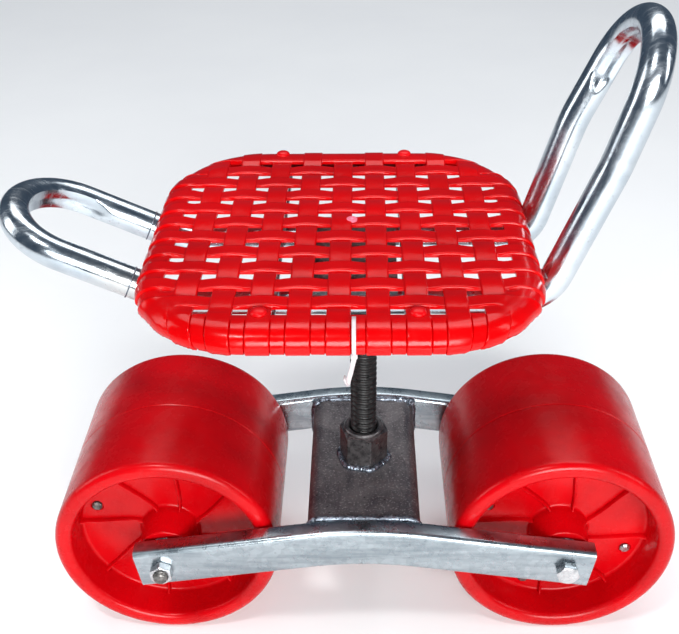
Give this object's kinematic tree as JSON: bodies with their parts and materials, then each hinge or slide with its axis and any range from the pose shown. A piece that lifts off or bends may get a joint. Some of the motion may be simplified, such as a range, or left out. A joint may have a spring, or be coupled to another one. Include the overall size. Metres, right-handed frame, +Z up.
{
  "type": "rolling work seat",
  "caption": "Low rolling work seat: woven-look plastic seat with a front grab loop and a tube back rest, on a lifting screw between two wide rollers.",
  "frame": {"origin": "on the floor at the centre of the footprint (bounding box); the lifting screw stands 7.6 mm towards +X of it", "axes": "+Z up, -X is the front (the low grab loop), +X the back rest end, the roller axles run along Y"},
  "size_m": [0.5698, 0.3216, 0.5644],
  "materials": {
    "seat_red": "satin moulded plastic",
    "stud_red": "satin moulded plastic",
    "wheel_red": "semi-gloss moulded plastic with light scuffs",
    "galvanised": "bright galvanised tube",
    "mill_steel": "bare mill-scale steel",
    "black_steel": "black oxide, oiled",
    "zinc": "zinc plated",
    "bearing_steel": "ground bearing steel",
    "tie_white": "natural nylon"
  },
  "bodies": {
    "chassis": {"base_tube": "mill_steel", "side_bar_left": "galvanised", "side_bar_right": "galvanised", "lift_nut": "mill_steel", "front_axle_bolt": "zinc", "front_axle_nut": "zinc", "front_axle_sleeve": "zinc", "front_bearing_inner_left": "bearing_steel", "front_axle_washer_left": "zinc", "front_bearing_inner_right": "bearing_steel", "front_axle_washer_right": "zinc", "rear_axle_bolt": "zinc", "rear_axle_nut": "zinc", "rear_axle_sleeve": "zinc", "rear_bearing_inner_left": "bearing_steel", "rear_axle_washer_left": "zinc", "rear_bearing_inner_right": "bearing_steel", "rear_axle_washer_right": "zinc"},
    "front_wheel": {"front_wheel_half_left": "wheel_red", "front_bearing_outer_left": "bearing_steel", "front_wheel_half_right": "wheel_red", "front_bearing_outer_right": "bearing_steel", "front_wheel_screw_1": "zinc", "front_wheel_screw_2": "zinc", "front_wheel_screw_3": "zinc", "front_wheel_screw_4": "zinc"},
    "rear_wheel": {"rear_wheel_half_left": "wheel_red", "rear_bearing_outer_left": "bearing_steel", "rear_wheel_half_right": "wheel_red", "rear_bearing_outer_right": "bearing_steel", "rear_wheel_screw_1": "zinc", "rear_wheel_screw_2": "zinc", "rear_wheel_screw_3": "zinc", "rear_wheel_screw_4": "zinc"},
    "screw": {"lift_screw": "black_steel"},
    "seat": {"mount_plate": "mill_steel", "screw_collar": "mill_steel", "cross_bar_front": "galvanised", "cross_bar_rear": "galvanised", "seat_rail_left": "galvanised", "seat_rail_right": "galvanised", "front_handle": "galvanised", "back_frame": "galvanised", "seat_panel": "seat_red", "cable_tie": "tie_white", "seat_stud_front_left": "stud_red", "seat_stud_front_right": "stud_red", "seat_stud_rear_left": "stud_red", "seat_stud_rear_right": "stud_red"}
  },
  "joints": [
    {"name": "front_roll", "type": "hinge", "parent": "chassis", "child": "front_wheel", "pos_m": [-0.1697, 0, 0.1], "axis": [0, 1, 0], "continuous": true},
    {"name": "rear_roll", "type": "hinge", "parent": "chassis", "child": "rear_wheel", "pos_m": [0.1849, 0, 0.1], "axis": [0, 1, 0], "continuous": true},
    {"name": "screw_lift", "type": "slide", "parent": "chassis", "child": "screw", "axis": [0, 0, 1], "range_m": [-0.0592, 0.0592]},
    {"name": "seat_turn", "type": "hinge", "parent": "screw", "child": "seat", "pos_m": [0.0076, 0, 0.35], "axis": [0, 0, 1], "range_deg": [-3870, 3870]}
  ],
  "couplings": [
    {"joint": "screw_lift", "follows": "seat_turn", "m_per_rad": 0.00087535}
  ]
}
